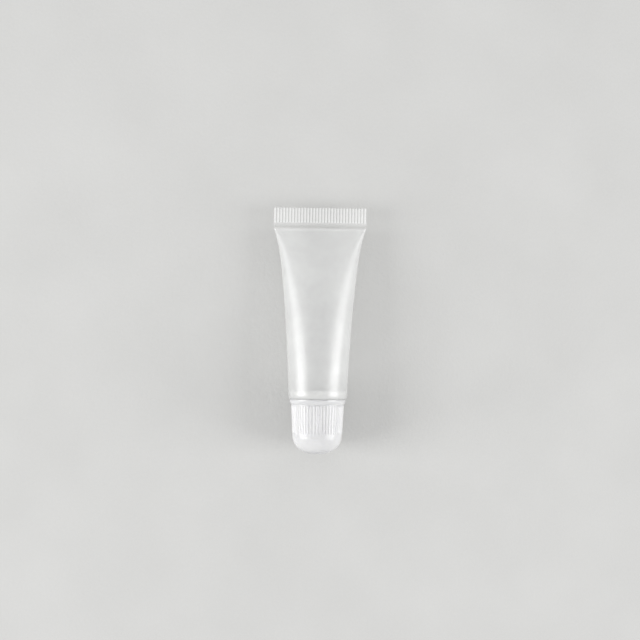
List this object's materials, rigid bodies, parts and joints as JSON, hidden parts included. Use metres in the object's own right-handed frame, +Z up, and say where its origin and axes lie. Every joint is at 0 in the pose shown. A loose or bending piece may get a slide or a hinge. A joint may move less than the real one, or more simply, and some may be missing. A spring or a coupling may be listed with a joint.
{
  "type": "lip gloss tube",
  "caption": "Soft frosted squeeze tube with a crimped flat tail, a threaded neck with a slanted lip tip, and a ribbed dome-ended screw cap.",
  "frame": {"origin": "centre of the object's box, on the surface it lies on, with the tube lying flat side up on its belly", "axes": "+Y towards the crimped tail, -Y towards the cap, +X across the flat tail, +Z up. The tube's axis dips 2.8 degrees towards the tail, because the tube lies on the straight stretch of its belly"},
  "size_m": [0.0294, 0.0778, 0.0185],
  "materials": {
    "frosted_film": "frosted translucent polyethylene film, soft gloss",
    "head_plastic": "natural milky polyethylene, satin",
    "soft_tip": "natural milky soft plastic, smooth",
    "seal_foam": "white closed-cell sealing foam, matt",
    "cap_plastic": "milky white polypropylene, soft gloss, slightly see-through"
  },
  "bodies": {
    "tube": {"tube_sleeve": "frosted_film", "shoulder_head": "head_plastic", "applicator_tip": "soft_tip"},
    "seal": {"cap_seal_ring": "seal_foam"},
    "cap": {"screw_cap": "cap_plastic"}
  },
  "joints": [
    {"name": "cap_lift", "type": "slide", "parent": "tube", "child": "seal", "axis": [0, -0.9988, 0.0492], "range_m": [0, 0.018]},
    {"name": "cap_twist", "type": "hinge", "parent": "seal", "child": "cap", "pos_m": [0, -0.02708, 0.00961], "axis": [0, -0.9988, 0.0492], "range_deg": [0, 2160]}
  ],
  "couplings": [
    {"joint": "cap_lift", "follows": "cap_twist", "m_per_rad": 0.00047746}
  ]
}
